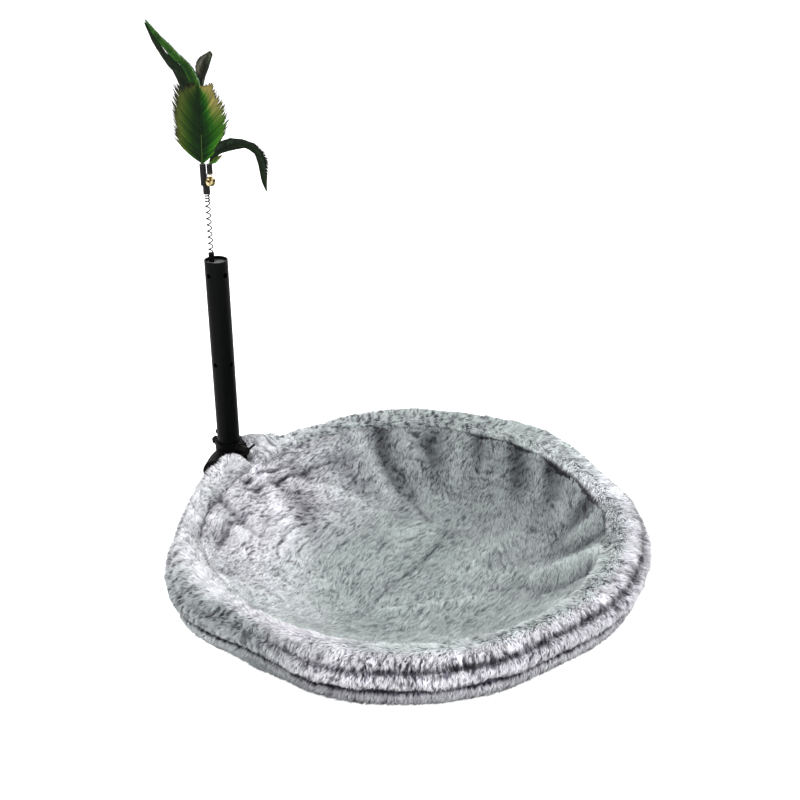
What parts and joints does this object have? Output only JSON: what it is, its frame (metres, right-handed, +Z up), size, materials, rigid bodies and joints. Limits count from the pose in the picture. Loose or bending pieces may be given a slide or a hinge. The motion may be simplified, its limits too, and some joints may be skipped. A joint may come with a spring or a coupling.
{
  "type": "desk cat hammock",
  "caption": "Round plush cat hammock on a hidden steel hoop, clamped by a hub to an upright drilled post with a feather and bell teaser on a wire spring.",
  "frame": {"origin": "middle of the flat resting face under the bowl, below the centre of the round rim", "axes": "+Z up, +Y from the bowl's centre towards the upright post, +X to the right seen from the side away from the post"},
  "size_m": [0.4352, 0.4764, 0.5007],
  "materials": {
    "plush": "frosted short-pile plush, grey with paler tips",
    "backing": "plain woven grey backing cloth",
    "filling": "loose polyester fibre fill",
    "hoop_steel": "drawn steel tube",
    "black_steel": "semi-gloss black powder coat",
    "black_plastic": "moulded, fine matte texture",
    "grey_plastic": "moulded, matte",
    "zinc_steel": "zinc plated",
    "spring_steel": "drawn spring wire",
    "black_wrap": "shrunk sleeve, matte",
    "bell_gold": "polished gilt brass",
    "feather_green": "dyed feather vane, green with brown-gold tips",
    "feather_dark": "dyed feather vane, dark green",
    "feather_brown": "dyed feather vane, brown-green"
  },
  "bodies": {
    "hammock": {"hoop_tube": "hoop_steel", "rim_roll": "plush", "bowl_panel": "plush", "bowl_padding": "filling", "underside_panel": "backing", "hub": "black_plastic", "hoop_screws": "zinc_steel", "post_tube": "black_steel", "post_plug": "grey_plastic", "spring_foot": "black_plastic", "clamp_washers": "zinc_steel", "clamp_nut": "zinc_steel", "button_leaf_spring": "spring_steel"},
    "clamp_screw": {"clamp_bolt": "zinc_steel", "clamp_knob": "black_plastic"},
    "button": {"snap_button": "black_steel"},
    "spring": {"teaser_spring": "spring_steel"},
    "toy": {"toy_sleeve": "black_wrap", "quill_tube": "black_wrap", "side_wrap": "black_wrap", "side_quill": "black_wrap", "feather_broad": "feather_green", "feather_long_green": "feather_green", "feather_long_dark": "feather_dark", "feather_short_back": "feather_brown", "feather_arching": "feather_dark", "feather_tip": "feather_green"},
    "bell": {"bell_shell": "bell_gold", "bell_pellet": "zinc_steel"}
  },
  "joints": [
    {"name": "clamp_turn", "type": "hinge", "parent": "hammock", "child": "clamp_screw", "pos_m": [0, 0.218, 0.09], "axis": [0, -1, 0], "continuous": true},
    {"name": "button_press", "type": "slide", "parent": "hammock", "child": "button", "axis": [0, 1, 0], "range_m": [-0.0045, 0], "stiffness_N_per_m": 300, "deforming": ["button_leaf_spring"]},
    {"name": "sway_sideways", "type": "hinge", "parent": "hammock", "child": "spring", "pos_m": [0, 0.2235, 0.30983], "axis": [-0.8063, -0.5915, 0], "range_deg": [-30, 30], "stiffness_Nm_per_rad": 0.05, "deforming": ["teaser_spring"]},
    {"name": "sway_forwards", "type": "hinge", "parent": "spring", "child": "toy", "pos_m": [0, 0.2235, 0.32867], "axis": [0.5915, -0.8063, 0], "range_deg": [-30, 30], "stiffness_Nm_per_rad": 0.05, "deforming": ["teaser_spring"]},
    {"name": "bell_swing", "type": "hinge", "parent": "toy", "child": "bell", "pos_m": [-0.00071, 0.21703, 0.3662], "axis": [-0.8063, -0.5915, 0], "range_deg": [-5, 40]}
  ]
}
